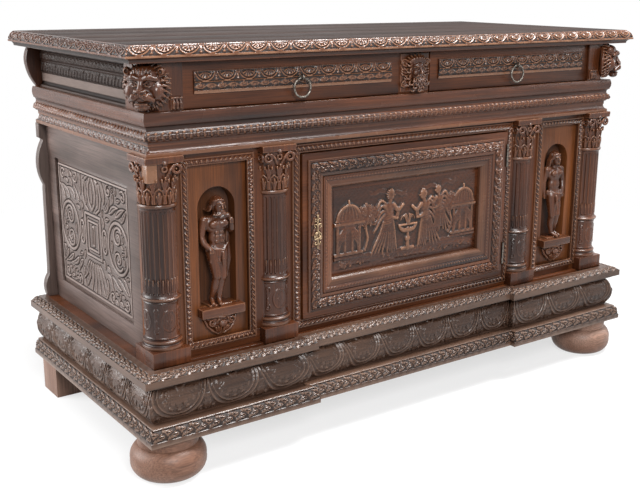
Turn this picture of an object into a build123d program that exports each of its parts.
from build123d import *
import os

os.makedirs("parts", exist_ok=True)

# A carved oak court sideboard: two frieze drawers over a cupboard with one door,
# engaged columns, figure niches, a moulded plinth with stepped ends, and bun feet.
# Millimetres, +Z up, the front faces -Y, the origin is on the floor under the middle.

# ---------------------------------------------------------------- heights
foot_height = 97.0
base_moulding_height = 38.0
base_frieze_height = 79.0
base_cap_height = 32.0
case_height = 436.0
entablature_height = 88.0
frieze_height = 96.0
top_thickness = 34.0

base_z = foot_height
base_frieze_z = base_z + base_moulding_height
base_cap_z = base_frieze_z + base_frieze_height
case_z = base_cap_z + base_cap_height
entablature_z = case_z + case_height
frieze_z = entablature_z + entablature_height
top_z = frieze_z + frieze_height
roof_z = top_z + top_thickness

# ---------------------------------------------------------------- plan
case_width = 1328.0
case_depth = 602.0
top_back_reach = 15.5

# ---------------------------------------------------------------- plinth and feet
base_side_reach = 26.0
base_rail_thickness = 48.0
base_step = 15.0
base_bay_reach = 14.0
base_bay_margin = 33.0
cap_projection = 38.0
cap_slope = 22.0
base_frieze_bulge = 28.0
base_moulding_projection = 36.0
base_moulding_front_extra = 12.0
foot_block_size = 120.0
foot_block_height = 50.0
bun_radius = 81.0
bun_inset = 10.0
bun_setback = 26.0
bun_neck_radius = 65.0
bun_neck_height = 24.0
bun_sole_radius = 50.0
block_foot_width = 90.0
block_foot_inset = 3.0

case_right = case_width / 2
bun_x = case_right - bun_inset
bun_reach = base_bay_reach + base_step - bun_setback + bun_radius
case_front = bun_reach - (case_depth + bun_reach + top_back_reach) / 2
case_back = case_front + case_depth

# ---------------------------------------------------------------- case frame
post_width = 75.0
post_depth = 75.0
post_notch = 30.0
frame_thickness = 30.0
bottom_rail_height = 30.0
top_rail_drop = 25.0
niche_bay_width = 144.0
inner_post_width = 131.0
side_thickness = 25.0
side_rail_bottom = 50.0
side_rail_top = 78.0
side_stile_front = 47.0
side_stile_back = 44.0
panel_thickness = 12.0
panel_tongue = 8.0
panel_setback = 7.0
groove_play = 0.2
side_relief_height = 5.0
board_thickness = 16.0
back_thickness = 12.0
rear_board_thickness = 20.0
rear_pilaster_reach = 18.0
rear_scroll_reach = 34.0
seat_gap = 0.3

door_half_opening = case_right - post_width - niche_bay_width - inner_post_width

# ---------------------------------------------------------------- columns
column_radius = 37.5
column_inset = 18.0
inner_column_gap = 64.0
column_block_size = 86.0
column_block_height = 34.0
column_base_height = 20.0
column_drum_height = 94.0
column_capital_height = 100.0
abacus_size = 84.0
abacus_thickness = 12.0
collar_overhang = 4.0
shaft_relief = 1.5
collar_height = 10.0
collar_step = 2.0
astragal_reach = 3.0
astragal_half_height = 4.0
flute_count = 20
flute_radius = 3.2
flute_rise = 8.0
flute_drop = 16.0
volute_radius = 8.5
volute_height = 20.0
volute_inset = 9.0
bell_inset = 4.0

inner_column_x = door_half_opening + inner_column_gap
base_bay_inner = inner_column_x - base_bay_margin

# ---------------------------------------------------------------- niches
niche_thickness = 40.0
niche_setback = 8.0
niche_radius = 44.0
niche_depth = 28.0
niche_rise = 257.0
niche_floor_z = 102.0
niche_ledge_thickness = 20.0
niche_ledge_gap = 18.0
niche_ledge_reach = 24.0
bracket_height = 48.0
bead_width = 16.0
bead_height = 9.0
bead_lap = 2.0
figure_height = 238.0
figure_gap = 0.3
figure_setback = 6.0

# ---------------------------------------------------------------- door
door_gap = 2.0
door_thickness = 28.0
door_proud = 10.0
door_member = 76.0
door_margin = 13.0
outer_moulding_width = 39.0
outer_moulding_height = 11.0
inner_moulding_width = 30.0
inner_moulding_lap = 22.0
inner_moulding_height = 5.0
door_panel_thickness = 10.0
door_panel_setback = 16.0
relief_height = 11.0
relief_margin = 10.0
surround_width = 20.0
surround_height = 10.0
stop_height = 8.0

# ---------------------------------------------------------------- door hardware
knuckle_radius = 2.9
hinge_pin_radius = 1.5
hinge_pin_play = 0.06
hinge_height = 55.0
hinge_end_margin = 60.0
hinge_leaf_thickness = 1.3
hinge_leaf_depth = 22.0
hinge_play = 0.5
hinge_proud = 1.2
knuckle_clearance = 1.2
leaf_clearance = 0.1
leaf_step = 0.2
pin_head_gap = 0.3
hinge_head_height = 1.5
hinge_head_radius = 2.4
lock_width = 64.0
lock_height = 60.0
lock_depth = 16.0
bolt_length = 44.0
bolt_height = 14.0
bolt_thickness = 7.0
bolt_throw = 12.0
bolt_play = 0.3
bolt_setback = 5.0
bolt_end_room = 2.0
lock_rise = 14.0
lock_edge_inset = 0.5
escutcheon_height = 80.0
escutcheon_width = 21.0
escutcheon_thickness = 2.6
keyhole_radius = 2.4
keyhole_drop = 8.0

# ---------------------------------------------------------------- drawers
muntin_half = 45.0
partition_thickness = 20.0
drawer_gap = 2.0
drawer_proud = 8.0
drawer_front_thickness = 22.0
drawer_panel_height = 46.0
drawer_panel_margin = 24.0
drawer_panel_rise = 28.0
drawer_panel_proud = 8.0
drawer_box_height = 74.0
drawer_back_room = 58.0
drawer_side_thickness = 12.0
drawer_bottom_thickness = 6.0
drawer_bottom_rise = 10.0
drawer_bottom_field = 2.0
drawer_lift = 0.4
shank_clearance = 0.1
rosette_thickness = 0.9
guide_width = 18.0
guide_height = 12.0
guide_play = 1.0
post_rebate = 7.0
ring_radius = 20.5
ring_wire = 2.3
eye_radius = 5.5
eye_wire = 1.7
eye_reach = 8.0
shank_radius = 2.4

# ---------------------------------------------------------------- frieze and top
frieze_side_proud = 6.0
frieze_side_thickness = 20.0
lion_chamfer = 30.0
lion_block_proud = 14.0
lion_half_width = 37.0
lion_projection = 40.0
lion_sink = 18.0
lion_snout = 12.0
lion_lift = 2.0
beard_projection = 34.0
beard_lift = 6.0
beard_chin_radius = 12.0
mask_plate_thickness = 7.0
mask_plate_margin = 4.0
entablature_projection = 22.5
top_side_reach = 48.0
top_front_reach = 32.0
top_moulding_width = 16.5


# ---------------------------------------------------------------- shared shapes
def box(x0, x1, y0, y1, z0, z1, mode=Mode.ADD):
    """Add or cut a box given by its limits."""
    with BuildSketch(Plane.XY.offset(z0)) as plan:
        with Locations(((x0 + x1) / 2, (y0 + y1) / 2)):
            Rectangle(abs(x1 - x0), abs(y1 - y0))
    extrude(plan.sketch, amount=z1 - z0, mode=mode)


def prism(points, z0, z1, mode=Mode.ADD):
    """Add or cut an upright prism on a polygon in plan."""
    with BuildSketch(Plane.XY.offset(z0)) as plan:
        Polygon(*points, align=None)
    extrude(plan.sketch, amount=z1 - z0, mode=mode)


def outline(place, profile):
    """Draw a profile of lines and three-point arcs, each point placed by place."""
    here = place(*profile[0])
    for step in profile[1:]:
        end = place(*step[-2:])
        if len(step) == 4:
            ThreePointArc(here, place(*step[:2]), end)
        else:
            Line(here, end)
        here = end
    return here


def close_outline(end, back, start):
    """Close an outline along a straight back, which may be the line between its own ends."""
    if abs(end[0] - back) > 0.01:
        Polyline(end, (back, end[1]), (back, start[1]), start)
    else:
        Line(end, start)


def side_face(profile, front, back):
    """Face in the YZ plane: a profile standing out of a front plane, closed at the back."""
    with BuildSketch(Plane.YZ) as section:
        with BuildLine():
            end = outline(lambda p, z: (front - p, z), profile)
            close_outline(end, back, (front - profile[0][0], profile[0][1]))
        make_face()
    return section.sketch


def front_face(profile, left_side, right_side):
    """Face in the XZ plane: the same profile on both ends of a block."""
    with BuildSketch(Plane.XZ) as section:
        with BuildLine():
            end_right = outline(lambda p, z: (right_side + p, z), profile)
            end_left = outline(lambda p, z: (left_side - p, z), profile)
            Line(end_right, end_left)
            Line((right_side + profile[0][0], profile[0][1]), (left_side - profile[0][0], profile[0][1]))
        make_face()
    return section.sketch


def moulded_bar(profile, x0, x1, front, back, mode=Mode.ADD):
    """A straight moulding along X, its profile standing out toward the front."""
    face = side_face(profile, front, back)
    extrude(face.moved(Location((x0, 0, 0))), amount=x1 - x0, dir=(1, 0, 0), mode=mode)


def return_ends(profile, x0, x1, y0, y1):
    """Trim a straight moulding so that the profile returns round both of its ends."""
    face = front_face(profile, x0, x1)
    extrude(face.moved(Location((0, y1, 0))), amount=y1 - y0, dir=(0, -1, 0), mode=Mode.INTERSECT)


def side_moulding(profile, hand, plane_x, front, back):
    """A moulding along one side, mitred at the front corner; hand is -1 left, 1 right."""
    reach = max(abs(step[-2]) for step in profile) * 2
    z0 = profile[0][1]
    z1 = profile[-1][1]
    inner = plane_x - base_rail_thickness
    with BuildSketch(Plane.XZ) as section:
        with BuildLine():
            end = outline(lambda p, z: (hand * (plane_x + p), z), profile)
            Polyline(end, (hand * inner, z1), (hand * inner, z0), (hand * (plane_x + profile[0][0]), z0))
        make_face()
    face = section.sketch.moved(Location((0, back, 0)))
    extrude(face, amount=back - front + reach, dir=(0, -1, 0))
    corners = [
        (hand * plane_x, front),
        (hand * (plane_x + reach), front - reach),
        (hand * (plane_x + reach), back),
        (hand * plane_x, back),
    ]
    prism(corners, z0, z1, mode=Mode.INTERSECT)


def front_mitre(profile, plane_x, front, inner_front):
    """Trim a front moulding to the 45 degree mitres at both corners."""
    reach = max(abs(step[-2]) for step in profile) * 2
    corners = [
        (-plane_x, inner_front),
        (-plane_x, front),
        (-plane_x - reach, front - reach),
        (plane_x + reach, front - reach),
        (plane_x, front),
        (plane_x, inner_front),
    ]
    prism(corners, profile[0][1], profile[-1][1], mode=Mode.INTERSECT)


def frame_moulding(x0, x1, z0, z1, face_y, section):
    """A mitred rectangular frame; section points are (distance inward, height off the face)."""
    middle = (z0 + z1) / 2
    with BuildLine(Plane.XZ.offset(-face_y)) as path:
        Polyline((x0, middle), (x0, z1), (x1, z1), (x1, z0), (x0, z0), (x0, middle))
    start = Plane(origin=(x0, face_y, middle), x_dir=(1, 0, 0), z_dir=(0, 0, 1))
    with BuildSketch(start) as profile:
        with BuildLine():
            Polyline(*[(inward, -height) for inward, height in section], close=True)
        make_face()
    sweep(profile.sketch, path=path.line, transition=Transition.RIGHT)


def turned(centre_x, centre_y, profile, mode=Mode.ADD):
    """A turned piece about an upright axis; the profile is (radius, level) from bottom to top."""
    start = Plane(origin=(centre_x, centre_y, 0), x_dir=(1, 0, 0), z_dir=(0, -1, 0))
    with BuildSketch(start) as section:
        with BuildLine():
            end = outline(lambda r, z: (r, z), profile)
            Polyline(end, (0, end[1]), (0, profile[0][1]), (profile[0][0], profile[0][1]))
        make_face()
    revolve(section.sketch, axis=Axis((centre_x, centre_y, 0), (0, 0, 1)), mode=mode)


def rod(start, end, radius_start, radius_end=None, mode=Mode.ADD):
    """A round bar or taper between two points."""
    a = Vector(*start)
    b = Vector(*end)
    last = radius_start if radius_end is None else radius_end
    along = (b - a).normalized()
    with BuildSketch(Plane(origin=a, z_dir=along)) as first_face:
        Circle(radius_start)
    if abs(last - radius_start) < 1e-6:
        extrude(first_face.sketch, amount=(b - a).length, mode=mode)
        return
    with BuildSketch(Plane(origin=b, z_dir=along)) as last_face:
        Circle(last)
    loft([first_face.sketch.face(), last_face.sketch.face()], mode=mode)


def ball(x, y, z, radius, mode=Mode.ADD):
    """A sphere by its centre."""
    with Locations((x, y, z)):
        Sphere(radius, mode=mode)


def finish(part, name):
    """Name a finished piece and write it as its own STEP file."""
    part.part.label = name
    export_step(part.part, f"parts/{name}.step")


def mitred_band(profile, plane_x, front, back, name):
    """A moulding along the front and both sides of a block, mitred at its front corners."""
    reach = 2 * max(step[-2] for step in profile)
    with BuildPart() as front_run:
        moulded_bar(profile, -plane_x - reach, plane_x + reach, front, front)
        front_mitre(profile, plane_x, front, front)
    side_runs = []
    for hand in (-1, 1):
        with BuildPart() as side_run:
            side_moulding(profile, hand, plane_x, front, back)
        side_runs.append(side_run.part)
    with BuildPart() as band:
        add(front_run.part)
        add(side_runs)
    finish(band, name)


# ---------------------------------------------------------------- moulding profiles
def cap_profile(z, height, reach, slope):
    """Plinth cap: cove, fillet and a rounded slope running back to the case."""
    return [
        (0, z),
        (reach - 16, z),
        (reach - 12, z + 0.18 * height, reach - 3, z + 0.25 * height),
        (reach, z + 0.25 * height),
        (reach, z + 0.72 * height),
        (reach - 0.36 * slope, z + 0.93 * height, reach - slope, z + height),
        (0, z + height),
    ]


def pulvinated_profile(z, height, bulge):
    """Bulging plinth frieze."""
    return [
        (0, z),
        (0.45 * bulge, z),
        (bulge, z + 0.5 * height, 0.3 * bulge, z + height),
        (0, z + height),
    ]


def base_profile(z, height, reach):
    """Plinth foot moulding: a plain fillet under an ovolo."""
    return [
        (0, z),
        (reach, z),
        (reach, z + 0.3 * height),
        (reach - 2, z + 0.68 * height, reach - 10, z + 0.95 * height),
        (reach - 12, z + height),
        (0, z + height),
    ]


def entablature_profile(z, height, reach):
    """Fillet, cove, carved torus, cove and a plain rounded band."""
    return [
        (0, z),
        (0.75 * reach, z),
        (0.75 * reach, z + 0.09 * height),
        (0.52 * reach, z + 0.14 * height, 0.44 * reach, z + 0.25 * height),
        (0.44 * reach, z + 0.33 * height),
        (0.6 * reach, z + 0.35 * height),
        (reach, z + 0.47 * height, 0.6 * reach, z + 0.59 * height),
        (0.62 * reach, z + 0.66 * height, 0.84 * reach, z + 0.71 * height),
        (0.84 * reach, z + 0.73 * height),
        (0.95 * reach, z + 0.86 * height, 0.82 * reach, z + height),
        (0, z + height),
    ]


def top_profile(z, height, reach):
    """Edge of the top: cove, fillet and a carved ovolo."""
    return [
        (0, z),
        (0.2 * reach, z),
        (0.35 * reach, z + 0.2 * height, 0.76 * reach, z + 0.3 * height),
        (reach, z + 0.3 * height),
        (reach, z + 0.42 * height),
        (0.72 * reach, z + 0.8 * height, 0.12 * reach, z + height),
        (0, z + height),
    ]


# ---------------------------------------------------------------- plinth
base_right = case_right + base_side_reach
base_mid_front = case_front - base_bay_reach
base_bay_front = base_mid_front - base_step
base_back = case_back

with BuildPart() as base_frame:
    box(-base_right, base_right, base_mid_front, base_back, base_z, case_z)
    box(
        -base_right + base_rail_thickness,
        base_right - base_rail_thickness,
        base_mid_front + base_rail_thickness,
        base_back - base_rail_thickness,
        base_z,
        case_z,
        mode=Mode.SUBTRACT,
    )
    for hand in (-1, 1):
        outer = hand * base_right
        inner = hand * (base_right - foot_block_size)
        front_end = base_mid_front + foot_block_size
        back_end = base_back - foot_block_size
        box(outer, inner, base_mid_front, front_end, base_z, base_z + foot_block_height)
        box(outer, inner, back_end, base_back, base_z, base_z + foot_block_height)
finish(base_frame, "base_frame")


def base_course(profile, name, front_extra=0.0):
    """One course of plinth moulding: a front with stepped ends and two mitred sides."""
    bay_front = base_bay_front - front_extra
    mid_front = base_mid_front - front_extra
    far = base_right + cap_projection * 2
    bays = []
    for ends in ((-base_right, -base_bay_inner), (base_bay_inner, base_right)):
        with BuildPart() as bay:
            moulded_bar(profile, -far, far, bay_front, base_mid_front)
            return_ends(profile, ends[0], ends[1], bay_front - far, base_mid_front)
        bays.append(bay.part)
    with BuildPart() as front:
        moulded_bar(profile, -base_bay_inner, base_bay_inner, mid_front, base_mid_front)
        add(bays)
        front_mitre(profile, base_right, bay_front, base_mid_front)
    with BuildPart() as left_side:
        side_moulding(profile, -1, base_right, bay_front, base_back)
    with BuildPart() as right_side:
        side_moulding(profile, 1, base_right, bay_front, base_back)
    with BuildPart() as course:
        add(front.part)
        add(left_side.part)
        add(right_side.part)
    finish(course, name)


base_course(
    base_profile(base_z, base_moulding_height, base_moulding_projection),
    "plinth_base_moulding",
    base_moulding_front_extra,
)
base_course(
    pulvinated_profile(base_frieze_z, base_frieze_height, base_frieze_bulge),
    "plinth_frieze",
)
base_course(
    cap_profile(base_cap_z, base_cap_height, cap_projection, cap_slope),
    "plinth_cap_moulding",
)


# ---------------------------------------------------------------- feet
with BuildPart() as bun_feet:
    for hand in (-1, 1):
        turned(
            hand * bun_x,
            base_bay_front + bun_setback,
            [
                (bun_sole_radius, 0),
                (0.93 * bun_radius, 0.14 * foot_height, bun_radius, 0.4 * foot_height),
                (0.95 * bun_radius, 0.62 * foot_height, 0.76 * bun_radius, foot_height - bun_neck_height),
                (bun_neck_radius, foot_height - bun_neck_height),
                (bun_neck_radius, foot_height),
            ],
        )
finish(bun_feet, "bun_feet")

with BuildPart() as block_feet:
    for hand in (-1, 1):
        inner = hand * (case_right - block_foot_width / 2)
        outer = hand * (case_right + block_foot_width / 2)
        foot_back = base_back - block_foot_inset
        box(inner, outer, foot_back - block_foot_width, foot_back, 0, foot_height)
finish(block_feet, "block_feet")

# ---------------------------------------------------------------- front frame of the case
frame_back = case_front + frame_thickness
post_inner = case_right - post_width
post_back = case_front + post_depth
notch_x = case_right - post_notch
notch_y = case_front + post_notch
bay_inner = door_half_opening + inner_post_width
bay_outer = post_inner
bay_bottom = case_z + bottom_rail_height
bay_top = entablature_z - top_rail_drop
door_face = case_front - door_proud
door_back = door_face + door_thickness
door_bottom = bay_bottom + door_gap
door_top = bay_top - door_gap
door_half = door_half_opening - door_gap
hinge_x = door_half_opening - door_gap / 2
hinge_y = door_face - hinge_proud
hinge_levels = (door_bottom + hinge_end_margin, door_top - hinge_end_margin)
hinge_notch_back = hinge_y + knuckle_radius + knuckle_clearance
lock_z = (door_bottom + door_top) / 2 + lock_rise
bolt_y = door_back + bolt_setback


def hinge_pocket(x0, x1, y0, y1):
    """Cut the seats of both hinges out of the piece under construction."""
    for level in hinge_levels:
        reach = hinge_height / 2 + hinge_head_height + 2 * hinge_play
        box(x0, x1, y0, y1, level - reach, level + reach, mode=Mode.SUBTRACT)


with BuildPart() as corner_posts:
    for hand in (-1, 1):
        box(hand * post_inner, hand * case_right, case_front, post_back, case_z, top_z)
        box(
            hand * notch_x,
            hand * case_right,
            case_front,
            notch_y,
            case_z,
            entablature_z,
            mode=Mode.SUBTRACT,
        )
        box(
            hand * post_inner,
            hand * (post_inner + post_rebate),
            case_front,
            post_back,
            frieze_z,
            top_z,
            mode=Mode.SUBTRACT,
        )
finish(corner_posts, "corner_posts")

with BuildPart() as inner_posts:
    for hand in (-1, 1):
        box(hand * door_half_opening, hand * bay_inner, case_front, frame_back, bay_bottom, bay_top)
    leaf_seat = door_half_opening + hinge_leaf_thickness + leaf_clearance
    hinge_pocket(door_half_opening, leaf_seat, case_front, hinge_y + hinge_leaf_depth + hinge_play)
    box(
        -door_half_opening,
        -door_half_opening - bolt_throw - bolt_end_room,
        bolt_y - bolt_thickness / 2 - bolt_play,
        bolt_y + bolt_thickness / 2 + bolt_play,
        lock_z - bolt_height / 2 - bolt_play,
        lock_z + bolt_height / 2 + bolt_play,
        mode=Mode.SUBTRACT,
    )
finish(inner_posts, "inner_posts")

stop_half = door_half_opening - surround_width
with BuildPart() as bottom_rail:
    box(-post_inner, post_inner, case_front, frame_back, case_z, bay_bottom)
    box(-stop_half, stop_half, door_back + seat_gap, frame_back, bay_bottom, bay_bottom + stop_height)
finish(bottom_rail, "bottom_rail")

with BuildPart() as top_rail:
    box(-post_inner, post_inner, case_front, frame_back, bay_top, frieze_z)
    box(-stop_half, stop_half, door_back + seat_gap, frame_back, bay_top - stop_height, bay_top)
finish(top_rail, "top_rail")

# ---------------------------------------------------------------- engaged columns
column_y = case_front + column_inset
corner_column_x = case_right - column_inset
drum_z = case_z + column_block_height + column_base_height
shaft_z = drum_z + column_drum_height
capital_z = entablature_z - column_capital_height
abacus_z = entablature_z - abacus_thickness
bell_reach = abacus_size / 2


def column_stack(x, missing_volute):
    """Block, base, drum, fluted shaft and capital of one column, before it is let in."""
    half_block = column_block_size / 2
    box(x - half_block, x + half_block, column_y - half_block, column_y + half_block,
        case_z, case_z + column_block_height)
    block_top = case_z + column_block_height
    ring = column_radius + collar_overhang
    astragal = column_radius + 0.5 * astragal_reach
    bell_top = bell_reach - bell_inset
    turned(x, column_y, [
        (ring, block_top),
        (ring + 1.2, block_top + 0.2 * column_base_height, ring, block_top + 0.4 * column_base_height),
        (column_radius - 1, block_top + 0.6 * column_base_height),
        (column_radius - 1, block_top + 0.7 * column_base_height),
        (column_radius + 2.5, block_top + 0.85 * column_base_height, column_radius, drum_z),
        (column_radius, shaft_z - collar_height),
        (ring - 1, shaft_z - collar_height),
        (ring + 0.5, shaft_z - (collar_height + collar_step) / 2, ring - 1, shaft_z - collar_step),
        (column_radius - shaft_relief, shaft_z - collar_step),
        (column_radius - shaft_relief, capital_z - astragal_half_height),
        (astragal, capital_z - astragal_half_height),
        (column_radius + astragal_reach, capital_z, astragal, capital_z + astragal_half_height),
        (column_radius - bell_inset, capital_z + astragal_half_height),
        (column_radius - 0.5 * bell_inset, capital_z + 0.5 * column_capital_height, bell_top, abacus_z),
        (bell_top, entablature_z),
    ])
    with Locations((x, column_y, (abacus_z + entablature_z) / 2)):
        Box(abacus_size, abacus_size, abacus_thickness)
    for across in (-1, 1):
        for along in (-1, 1):
            if (across, along) == missing_volute:
                continue
            volute_x = x + across * (bell_reach - volute_inset)
            volute_y = column_y + along * (bell_reach - volute_inset)
            rod((volute_x, volute_y, abacus_z - volute_height), (volute_x, volute_y, abacus_z), volute_radius)


def flutes(x):
    """Cut the flutes of one shaft."""
    with BuildSketch(Plane.XY.offset(shaft_z + flute_rise)) as cuts:
        with Locations((x, column_y)):
            with PolarLocations(column_radius, flute_count):
                Circle(flute_radius)
    extrude(cuts.sketch, amount=capital_z - shaft_z - flute_rise - flute_drop, mode=Mode.SUBTRACT)


column_places = {
    "outer_left": (-1, corner_column_x, True),
    "inner_left": (-1, inner_column_x, False),
    "inner_right": (1, inner_column_x, False),
    "outer_right": (1, corner_column_x, True),
}
for place_name, (hand, distance, at_corner) in column_places.items():
    broken = (-1, -1) if place_name == "outer_left" else None
    with BuildPart() as column:
        column_stack(hand * distance, broken)
        flutes(hand * distance)
        if at_corner:
            prism(
                [
                    (0, case_front),
                    (hand * notch_x, case_front),
                    (hand * notch_x, notch_y),
                    (hand * case_right, notch_y),
                    (hand * case_right, case_back),
                    (0, case_back),
                ],
                case_z,
                entablature_z,
                mode=Mode.SUBTRACT,
            )
        else:
            box(-case_right, case_right, case_front, case_back, case_z, entablature_z, mode=Mode.SUBTRACT)
    finish(column, f"column_{place_name}")

# ---------------------------------------------------------------- niche bays
niche_x = (bay_inner + bay_outer) / 2
niche_face = case_front + niche_setback
niche_z = case_z + niche_floor_z
spring_z = niche_z + niche_rise - niche_radius
ledge_front = niche_face - niche_ledge_reach
ledge_half_width = (bay_outer - bay_inner) / 2 - bead_lap - niche_ledge_gap
bead_section = [(0, 0), (0.06, 0.55), (0.25, 0.88), (0.5, 1), (0.75, 0.88), (0.94, 0.55), (1, 0)]
bead = [(along * bead_width, up * bead_height) for along, up in bead_section]
bead_reach = bead_width - bead_lap
figure_y = niche_face + figure_setback


def niche_figure(x, hand):
    """A standing figure, 3/4 in the round; hand mirrors the pose. Its span is a hundredth of its height."""
    span = figure_height / 100
    foot = niche_z + figure_gap
    knee = foot + 27 * span
    hip = foot + 50 * span
    waist = foot + 60 * span
    chest = foot + 74 * span
    neck = foot + 84 * span
    y = figure_y
    for side, sway in ((-1, 0), (1, 2 * hand * span)):
        ankle = (x + side * 4.6 * span + sway, y, foot + 2.5 * span)
        box(ankle[0] - 3.4 * span, ankle[0] + 3.4 * span, y - 8.4 * span, y + 3.4 * span,
            foot, foot + 3.8 * span)
        knee_point = (x + side * 5 * span + sway / 2, y - 1.3 * span, knee)
        rod(ankle, knee_point, 3.4 * span, 4.2 * span)
        ball(*knee_point, 4.2 * span)
        rod(knee_point, (x + side * 4.2 * span, y, hip), 4.2 * span, 5.9 * span)
    levels = []
    for level, half_width, half_depth in (
        (hip - 6.7 * span, 10.9, 7.1),
        (waist, 8.4, 5.9),
        (chest, 11.3, 6.7),
        (neck, 5, 4.2),
    ):
        with BuildSketch(Plane.XY.offset(level)) as ring:
            with Locations((x, y)):
                Ellipse(half_width * span, half_depth * span)
        levels.append(ring.sketch.face())
    loft(levels, ruled=True)
    head_z = foot + 92 * span
    ball(x, y - 0.8 * span, head_z, 8 * span)
    rod((x, y, neck - 1.7 * span), (x, y - 0.8 * span, head_z - span), 3.8 * span, 3.8 * span)
    for side, wrist in ((hand, hip - 3.4 * span), (-hand, waist + 3.4 * span)):
        shoulder = (x + side * 10 * span, y, chest + 2.5 * span)
        elbow = (x + side * 13 * span, y, waist)
        reach = (12.6 if wrist < hip else 4.2) * span
        rod(shoulder, elbow, 3.4 * span, 2.9 * span)
        ball(*elbow, 2.9 * span)
        rod(elbow, (x + side * reach, y - 5 * span, wrist), 2.9 * span, 2.5 * span)


for hand, side_name in ((-1, "left"), (1, "right")):
    with BuildPart() as figure:
        niche_figure(hand * niche_x, hand)
    finish(figure, f"niche_figure_{side_name}")

with BuildPart() as niche_panels:
    for hand in (-1, 1):
        box(hand * (bay_inner + seat_gap), hand * (bay_outer - seat_gap), niche_face,
            niche_face + niche_thickness, bay_bottom + seat_gap, bay_top - seat_gap)
        with BuildSketch(Plane.XZ.offset(-niche_face)) as arch:
            with Locations((hand * niche_x, (niche_z + spring_z) / 2)):
                Rectangle(2 * niche_radius, spring_z - niche_z)
            with Locations((hand * niche_x, spring_z)):
                Circle(niche_radius)
        extrude(arch.sketch, amount=-niche_depth, mode=Mode.SUBTRACT)
finish(niche_panels, "niche_panels")

with BuildPart() as niche_brackets:
    bracket_top = niche_z - niche_ledge_thickness
    for hand in (-1, 1):
        x = hand * niche_x
        with BuildSketch(Plane.XY.offset(bracket_top)) as upper:
            with Locations((x, niche_face)):
                Ellipse(0.85 * ledge_half_width, niche_ledge_reach - 2)
        with BuildSketch(Plane.XY.offset(bracket_top - bracket_height)) as lower:
            with Locations((x, niche_face)):
                Ellipse(0.2 * ledge_half_width, 0.4 * niche_ledge_reach)
        loft([upper.sketch.face(), lower.sketch.face()])
    box(-case_right, case_right, niche_face, case_back, bay_bottom, bay_top, mode=Mode.SUBTRACT)
    for hand in (-1, 1):
        x = hand * niche_x
        box(x - ledge_half_width, x + ledge_half_width, ledge_front, niche_face,
            bracket_top, niche_z)
finish(niche_brackets, "niche_brackets")

with BuildPart() as niche_beads:
    for hand in (-1, 1):
        ends = sorted((hand * (bay_inner - bead_reach), hand * (bay_outer + bead_reach)))
        frame_moulding(ends[0], ends[1], bay_bottom - bead_reach, bay_top + bead_reach, case_front, bead)
finish(niche_beads, "niche_beads")

# ---------------------------------------------------------------- door surround
with BuildPart() as surround:
    inner_edge = door_half_opening
    rim = [(along * surround_width, up * surround_height) for along, up in bead_section]
    frame_moulding(-inner_edge - surround_width, inner_edge + surround_width,
                   bay_bottom - surround_width, bay_top + surround_width, case_front, rim)
    hinge_pocket(inner_edge - 0.5, inner_edge + knuckle_radius + 1, door_face - surround_height, case_front)
finish(surround, "door_surround")


# ---------------------------------------------------------------- sides, back and boards
side_inner = case_right - side_thickness
side_back = case_back - rear_board_thickness
opening_front = post_back + side_stile_front
opening_back = side_back - side_stile_back
opening_bottom = case_z + side_rail_bottom
opening_top = entablature_z - side_rail_top
panel_outer = case_right - panel_setback
panel_inner = panel_outer - panel_thickness

for hand, side_name in ((-1, "left"), (1, "right")):
    with BuildPart() as side_frame:
        box(hand * side_inner, hand * case_right, post_back, side_back, case_z, frieze_z)
        box(hand * side_inner, hand * case_right, opening_front, opening_back, opening_bottom,
            opening_top, mode=Mode.SUBTRACT)
        box(
            hand * (panel_inner - groove_play),
            hand * (panel_outer + groove_play),
            opening_front - panel_tongue - groove_play,
            opening_back + panel_tongue + groove_play,
            opening_bottom - panel_tongue - groove_play,
            opening_top + panel_tongue + groove_play,
            mode=Mode.SUBTRACT,
        )
    finish(side_frame, f"side_frame_{side_name}")

    with BuildPart() as side_panel:
        box(
            hand * panel_inner,
            hand * panel_outer,
            opening_front - panel_tongue,
            opening_back + panel_tongue,
            opening_bottom - panel_tongue,
            opening_top + panel_tongue,
        )
        box(
            hand * panel_outer,
            hand * (panel_outer + side_relief_height),
            opening_front + relief_margin,
            opening_back - relief_margin,
            opening_bottom + relief_margin,
            opening_top - relief_margin,
        )
    finish(side_panel, f"side_panel_{side_name}")

with BuildPart() as back_panel:
    box(-side_inner, side_inner, case_back - back_thickness, case_back, case_z, top_z)
finish(back_panel, "back_panel")


def inner_board(z0, z1):
    """A level board filling the case between the sides, cut round the corner posts."""
    box(-side_inner, side_inner, frame_back, case_back - back_thickness, z0, z1)
    for hand in (-1, 1):
        box(hand * post_inner, hand * case_right, frame_back, post_back, z0, z1, mode=Mode.SUBTRACT)


with BuildPart() as bottom_board:
    inner_board(case_z, case_z + board_thickness)
finish(bottom_board, "bottom_board")

with BuildPart() as dust_board:
    inner_board(frieze_z - board_thickness, frieze_z)
finish(dust_board, "dust_board")

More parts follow.
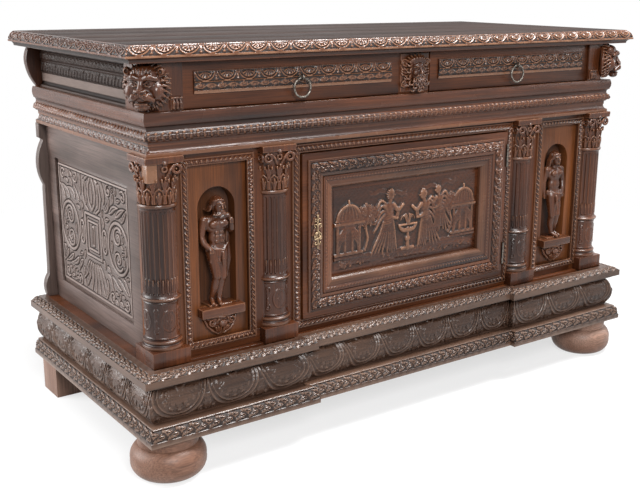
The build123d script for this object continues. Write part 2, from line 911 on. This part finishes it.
with BuildPart() as rear_pilasters:
    for hand in (-1, 1):
        reach = rear_pilaster_reach
        height = entablature_z - case_z
        rise = case_z
        with BuildSketch(Plane.XZ.offset(-case_back)) as shape:
            with BuildLine():
                end = outline(lambda p, z: (hand * (case_right + p), z), [
                    (1.3 * reach, rise),
                    (1.55 * reach, rise + 0.06 * height, 0.95 * reach, rise + 0.13 * height),
                    (0.9 * reach, rise + 0.17 * height),
                    (0.75 * reach, rise + 0.63 * height),
                    (0.7 * reach, rise + 0.65 * height),
                    (1.35 * reach, rise + 0.74 * height, 0.85 * reach, rise + 0.88 * height),
                    (0.6 * reach, rise + 0.9 * height),
                    (0.6 * reach, rise + 0.91 * height),
                    (1.05 * reach, rise + 0.92 * height),
                    (1.05 * reach, rise + height),
                    (0, rise + height),
                    (0, frieze_z),
                ])
                Polyline(end, (hand * side_inner, frieze_z), (hand * side_inner, rise),
                         (hand * (case_right + 1.3 * reach), rise))
            make_face()
        extrude(shape.sketch, amount=rear_board_thickness)
finish(rear_pilasters, "rear_pilasters")

with BuildPart() as rear_scrolls:
    for hand in (-1, 1):
        reach = rear_scroll_reach
        with BuildSketch(Plane.XZ.offset(-case_back)) as shape:
            with BuildLine():
                end = outline(lambda p, z: (hand * (case_right + p), z), [
                    (0.35 * reach, frieze_z),
                    (0.75 * reach, frieze_z + 0.22 * frieze_height, reach, frieze_z + 0.5 * frieze_height),
                    (1.02 * reach, frieze_z + 0.78 * frieze_height, 0.76 * reach, top_z),
                ])
                Polyline(end, (hand * side_inner, top_z), (hand * side_inner, frieze_z),
                         (hand * (case_right + 0.35 * reach), frieze_z))
            make_face()
        extrude(shape.sketch, amount=rear_board_thickness)
finish(rear_scrolls, "rear_scrolls")

# ---------------------------------------------------------------- entablature
entablature = entablature_profile(entablature_z, entablature_height, entablature_projection)
mitred_band(entablature, case_right, case_front, case_back, "entablature")

# ---------------------------------------------------------------- frieze
frieze_front = case_front - frieze_side_proud
with BuildPart() as frieze_sides:
    for hand in (-1, 1):
        outer = case_right + frieze_side_proud
        box(hand * (outer - frieze_side_thickness), hand * outer, post_back, side_back, frieze_z, top_z)
finish(frieze_sides, "frieze_sides")

with BuildPart() as drawer_divider:
    box(-muntin_half, muntin_half, frieze_front, frame_back, frieze_z, top_z)
    half = partition_thickness / 2
    box(-half, half, frame_back, case_back - back_thickness, frieze_z, top_z)
finish(drawer_divider, "drawer_divider")

mask_z = (frieze_z + top_z) / 2
for hand, side_name in ((-1, "left"), (1, "right")):
    block_front = case_front - lion_block_proud
    block_side = case_right + lion_block_proud
    block_inner = post_inner + post_rebate
    middle_x = block_side - lion_chamfer / 2
    middle_y = block_front + lion_chamfer / 2
    with BuildPart() as lion:
        prism(
            [
                (hand * block_inner, block_front),
                (hand * (block_side - lion_chamfer), block_front),
                (hand * block_side, block_front + lion_chamfer),
                (hand * block_side, post_back),
                (hand * block_inner, post_back),
            ],
            frieze_z,
            top_z,
        )
        outward = Vector(hand, -1, 0).normalized()
        face_plane = Plane(origin=(hand * middle_x, middle_y, mask_z + lion_lift), x_dir=outward,
                           z_dir=Vector(-1, -hand, 0).normalized())
        with BuildSketch(face_plane) as head:
            with BuildLine():
                Line((-lion_sink, 0), (-lion_sink, lion_half_width))
                ThreePointArc((-lion_sink, lion_half_width), (0.45 * lion_projection, 0.86 * lion_half_width),
                              (0.85 * lion_projection, 0.45 * lion_half_width))
                Polyline((0.85 * lion_projection, 0.45 * lion_half_width),
                         (lion_projection + lion_snout, 0.35 * lion_half_width),
                         (lion_projection + lion_snout, 0), (-lion_sink, 0))
            make_face()
        revolve(head.sketch, axis=Axis(face_plane.origin, outward))
        box(0, hand * case_right, case_front, case_back, frieze_z, top_z, mode=Mode.SUBTRACT)
    finish(lion, f"lion_mask_{side_name}")

with BuildPart() as bearded_mask:
    beard_radius = 0.33 * frieze_height
    centre_y = frieze_front - beard_projection + beard_radius
    ball(0, centre_y, mask_z + beard_lift, beard_radius)
    rod((0, centre_y + 2, mask_z), (0, centre_y + 6, frieze_z + 10), 0.8 * beard_radius, beard_chin_radius)
    box(-muntin_half, muntin_half, frieze_front, case_back, frieze_z, top_z, mode=Mode.SUBTRACT)
    plate = muntin_half - drawer_gap
    box(-plate, plate, frieze_front - mask_plate_thickness, frieze_front, frieze_z + mask_plate_margin,
        top_z - mask_plate_margin)
finish(bearded_mask, "bearded_mask")

drawer_outer = post_inner + post_rebate - drawer_gap
drawer_inner = muntin_half + drawer_gap
guide_outer = drawer_outer - drawer_gap + guide_play
guide_inner = drawer_inner + drawer_gap - guide_play
with BuildPart() as drawer_guides:
    for hand in (-1, 1):
        box(hand * guide_outer, hand * (guide_outer + guide_width), post_back, side_back,
            frieze_z, frieze_z + guide_height)
        box(hand * (guide_inner - guide_width), hand * guide_inner, frame_back, side_back,
            frieze_z, frieze_z + guide_height)
finish(drawer_guides, "drawer_guides")

# ---------------------------------------------------------------- top
slab_right = case_right + top_side_reach
slab_front = case_front - top_front_reach
slab_back = case_back + top_back_reach
with BuildPart() as top_board:
    box(-slab_right, slab_right, slab_front, slab_back, top_z, roof_z)
finish(top_board, "top_board")

top_edge = top_profile(top_z, top_thickness, top_moulding_width)
mitred_band(top_edge, slab_right, slab_front, slab_back, "top_moulding")

# ---------------------------------------------------------------- door
door_opening_half = door_half - door_member
door_opening_bottom = door_bottom + door_member
door_opening_top = door_top - door_member
door_panel_face = door_face + door_panel_setback
door_panel_back = door_panel_face + door_panel_thickness
key_x = -(door_half - door_margin - outer_moulding_width / 2)
key_z = lock_z - keyhole_drop

with BuildPart() as door_frame:
    box(-door_half, door_half, door_face, door_back, door_bottom, door_top)
    box(-door_opening_half, door_opening_half, door_face, door_back, door_opening_bottom,
        door_opening_top, mode=Mode.SUBTRACT)
    groove = panel_tongue + groove_play
    box(-door_opening_half - groove, door_opening_half + groove, door_panel_face - groove_play,
        door_panel_back + groove_play, door_opening_bottom - groove, door_opening_top + groove,
        mode=Mode.SUBTRACT)
    hinge_pocket(hinge_x - knuckle_radius - knuckle_clearance, door_half + 1, door_face - 1, hinge_notch_back)
    hinge_pocket(door_half - hinge_leaf_thickness - leaf_clearance, door_half + 1, door_face,
                 hinge_y + hinge_leaf_depth + hinge_play)
    rod((key_x, door_face - 1, key_z), (key_x, door_back + 1, key_z), keyhole_radius, mode=Mode.SUBTRACT)
finish(door_frame, "door_frame")

with BuildPart() as door_panel:
    box(-door_opening_half - panel_tongue, door_opening_half + panel_tongue, door_panel_face,
        door_panel_back, door_opening_bottom - panel_tongue, door_opening_top + panel_tongue)
    field = door_opening_half - (inner_moulding_width - inner_moulding_lap) - relief_margin
    rim = door_opening_half - field
    box(-field, field, door_panel_face - relief_height / 2, door_panel_face,
        door_opening_bottom + rim, door_opening_top - rim)
finish(door_panel, "door_panel")

with BuildPart() as door_outer_moulding:
    run = outer_moulding_width
    rise = outer_moulding_height
    frame_moulding(
        -door_half + door_margin, door_half - door_margin, door_bottom + door_margin,
        door_top - door_margin, door_face,
        [(0, 0), (0, 0.4 * rise), (0.1 * run, 0.45 * rise), (0.22 * run, 0.85 * rise),
         (0.45 * run, rise), (0.68 * run, 0.85 * rise), (0.82 * run, 0.4 * rise),
         (run, 0.3 * rise), (run, 0)],
    )
    rod((key_x, door_face - rise - 1, key_z), (key_x, door_face + 1, key_z), keyhole_radius,
        mode=Mode.SUBTRACT)
finish(door_outer_moulding, "door_outer_moulding")

with BuildPart() as door_inner_moulding:
    lap = inner_moulding_lap
    run = inner_moulding_width
    rise = inner_moulding_height
    edge = door_opening_half + lap
    frame_moulding(
        -edge, edge, door_opening_bottom - lap, door_opening_top + lap, door_face,
        [(0, 0), (0, 0.9 * rise), (0.12 * run, rise), (0.4 * run, 0.3 * rise), (lap, 0.1 * rise),
         (0.85 * run, -0.3 * rise), (run, -0.5 * door_panel_setback), (run, -door_panel_setback),
         (lap, -door_panel_setback), (lap, 0)],
    )
finish(door_inner_moulding, "door_inner_moulding")

with BuildPart() as escutcheon:
    plate_front = door_face - outer_moulding_height - escutcheon_thickness
    high = escutcheon_height / 2
    wide = escutcheon_width / 2
    with BuildSketch(Plane.XZ.offset(-plate_front)) as plate:
        with Locations((key_x, lock_z)):
            Ellipse(wide, 0.42 * high)
        for end in (-1, 1):
            with Locations((key_x, lock_z + end * 0.52 * high)):
                Circle(0.66 * wide)
            with Locations((key_x, lock_z + end * 0.82 * high)):
                Ellipse(0.4 * wide, 0.18 * high)
            for side in (-1, 1):
                with Locations((key_x + side * 0.3 * wide, lock_z + end * 0.5 * high)):
                    Circle(0.16 * wide, mode=Mode.SUBTRACT)
        with Locations((key_x, key_z)):
            Circle(keyhole_radius, mode=Mode.SUBTRACT)
    extrude(plate.sketch, amount=-escutcheon_thickness)
finish(escutcheon, "escutcheon")

# ---------------------------------------------------------------- hinges and lock
segment = hinge_height / 3
leaf_front = hinge_notch_back + leaf_step
leaf_back = hinge_y + hinge_leaf_depth


def knuckle(level_low, level_high):
    """One barrel of a hinge, bored for its pin."""
    rod((hinge_x, hinge_y, level_low), (hinge_x, hinge_y, level_high), knuckle_radius)


def pin_bore(level):
    """Bore the barrels of one hinge."""
    reach = hinge_height / 2 + 1
    rod((hinge_x, hinge_y, level - reach), (hinge_x, hinge_y, level + reach),
        hinge_pin_radius + hinge_pin_play, mode=Mode.SUBTRACT)


with BuildPart() as door_hinge_leaves:
    for level in hinge_levels:
        low = level - hinge_height / 2
        high = level + hinge_height / 2
        inner = door_half - hinge_leaf_thickness
        box(inner, door_half, leaf_front, leaf_back, low, high)
        for start, stop in ((low, low + segment - hinge_play / 2), (high - segment + hinge_play / 2, high)):
            box(inner, door_half, hinge_y, leaf_front, start, stop)
            knuckle(start, stop)
        pin_bore(level)
finish(door_hinge_leaves, "door_hinge_leaves")

with BuildPart() as case_hinge_leaves:
    for level in hinge_levels:
        low = level - hinge_height / 2
        high = level + hinge_height / 2
        outer = door_half_opening + hinge_leaf_thickness
        box(door_half_opening, outer, leaf_front, leaf_back, low, high)
        start = low + segment + hinge_play / 2
        stop = high - segment - hinge_play / 2
        box(door_half_opening, outer, hinge_y, leaf_front, start, stop)
        knuckle(start, stop)
        pin_bore(level)
finish(case_hinge_leaves, "case_hinge_leaves")

with BuildPart() as hinge_pins:
    for level in hinge_levels:
        reach = hinge_height / 2 + pin_head_gap
        rod((hinge_x, hinge_y, level - reach), (hinge_x, hinge_y, level + reach), hinge_pin_radius)
        for way in (-1, 1):
            start = level + way * reach
            end = start + way * hinge_head_height
            rod((hinge_x, hinge_y, start), (hinge_x, hinge_y, end), hinge_head_radius)
finish(hinge_pins, "hinge_pins")

lock_left = -door_half + lock_edge_inset
bolt_low = lock_z - bolt_height / 2
bolt_high = lock_z + bolt_height / 2
with BuildPart() as lock_case:
    box(lock_left, lock_left + lock_width, door_back, door_back + lock_depth,
        lock_z - lock_height / 2, lock_z + lock_height / 2)
    box(lock_left - 1, lock_left + bolt_length + bolt_play, bolt_y - bolt_thickness / 2 - bolt_play,
        bolt_y + bolt_thickness / 2 + bolt_play, bolt_low - bolt_play, bolt_high + bolt_play,
        mode=Mode.SUBTRACT)
finish(lock_case, "lock_case")

with BuildPart() as lock_bolt:
    box(lock_left, lock_left + bolt_length, bolt_y - bolt_thickness / 2, bolt_y + bolt_thickness / 2,
        bolt_low, bolt_high)
finish(lock_bolt, "lock_bolt")

# ---------------------------------------------------------------- drawers
drawer_face = case_front - drawer_proud
drawer_back = drawer_face + drawer_front_thickness
drawer_bottom_z = frieze_z + drawer_gap
drawer_top_z = top_z - drawer_gap
panel_low = drawer_bottom_z + drawer_panel_rise
panel_high = panel_low + drawer_panel_height
panel_crest = drawer_face - drawer_panel_proud
pull_x = (drawer_inner + drawer_outer) / 2
pull_z = (panel_low + panel_high) / 2
eye_y = panel_crest - eye_reach
box_low = frieze_z + drawer_lift
box_end = case_back - drawer_back_room
hole_radius = shank_radius + shank_clearance

for hand, side_name in ((-1, "left"), (1, "right")):
    x_in = hand * drawer_inner
    x_out = hand * drawer_outer
    x_pull = hand * pull_x
    with BuildPart() as drawer_front:
        box(x_in, x_out, drawer_face, drawer_back, drawer_bottom_z, drawer_top_z)
        rod((x_pull, drawer_face - 1, pull_z), (x_pull, drawer_back + 1, pull_z), hole_radius,
            mode=Mode.SUBTRACT)
    finish(drawer_front, f"drawer_front_{side_name}")

    with BuildPart() as drawer_panel:
        swell = [
            (0, panel_low),
            (0.5 * drawer_panel_proud, panel_low),
            (drawer_panel_proud, pull_z, 0.5 * drawer_panel_proud, panel_high),
            (0, panel_high),
        ]
        inner_end = hand * (drawer_inner + drawer_panel_margin)
        outer_end = hand * (drawer_outer - drawer_panel_margin)
        ends = sorted((inner_end, outer_end))
        moulded_bar(swell, ends[0], ends[1], drawer_face, drawer_face)
        rod((x_pull, panel_crest - 1, pull_z), (x_pull, drawer_face + 1, pull_z), hole_radius,
            mode=Mode.SUBTRACT)
    finish(drawer_panel, f"drawer_panel_{side_name}")

    side_in = drawer_inner + drawer_gap
    side_out = drawer_outer - drawer_gap
    box_high = box_low + drawer_box_height
    wall = drawer_side_thickness
    floor_low = box_low + drawer_bottom_rise
    floor_high = floor_low + drawer_bottom_thickness
    tongue_high = floor_high - drawer_bottom_field
    with BuildPart() as drawer_box:
        box(hand * side_in, hand * side_out, drawer_back, box_end, box_low, box_high)
        box(hand * (side_in + wall), hand * (side_out - wall), drawer_back, box_end - wall,
            box_low, box_high, mode=Mode.SUBTRACT)
        box(hand * (side_in + wall / 2 - groove_play), hand * (side_out - wall / 2 + groove_play),
            drawer_back, box_end - wall / 2 + groove_play, floor_low - groove_play,
            tongue_high + groove_play, mode=Mode.SUBTRACT)
    finish(drawer_box, f"drawer_box_{side_name}")

    with BuildPart() as drawer_floor:
        box(hand * (side_in + wall / 2), hand * (side_out - wall / 2), drawer_back + groove_play,
            box_end - wall / 2, floor_low, tongue_high)
        field_in = side_in + wall + groove_play
        field_out = side_out - wall - groove_play
        box(hand * field_in, hand * field_out, drawer_back + groove_play, box_end - wall - groove_play,
            floor_low, floor_high)
    finish(drawer_floor, f"drawer_floor_{side_name}")

    with BuildPart() as staple:
        with BuildSketch(Plane(origin=(x_pull, eye_y, pull_z + eye_radius), x_dir=(1, 0, 0),
                               z_dir=(0, 1, 0))) as wire:
            Circle(eye_wire)
        revolve(wire.sketch, axis=Axis((x_pull, eye_y, pull_z), (1, 0, 0)))
        rod((x_pull, eye_y + eye_radius, pull_z), (x_pull, drawer_back, pull_z), shank_radius)
        rosette_back = panel_crest - shank_clearance
        rosette_front = rosette_back - rosette_thickness
        rod((x_pull, rosette_front, pull_z), (x_pull, rosette_back, pull_z), 2 * shank_radius)
    finish(staple, f"ring_staple_{side_name}")

    hang_z = pull_z - (eye_radius - eye_wire - ring_wire - seat_gap)
    with BuildPart() as ring:
        with BuildSketch(Plane(origin=(x_pull, eye_y, hang_z), x_dir=(0, 1, 0), z_dir=(1, 0, 0))) as wire:
            Circle(ring_wire)
        revolve(wire.sketch, axis=Axis((x_pull, eye_y, hang_z - ring_radius), (0, 1, 0)))
    finish(ring, f"ring_pull_{side_name}")
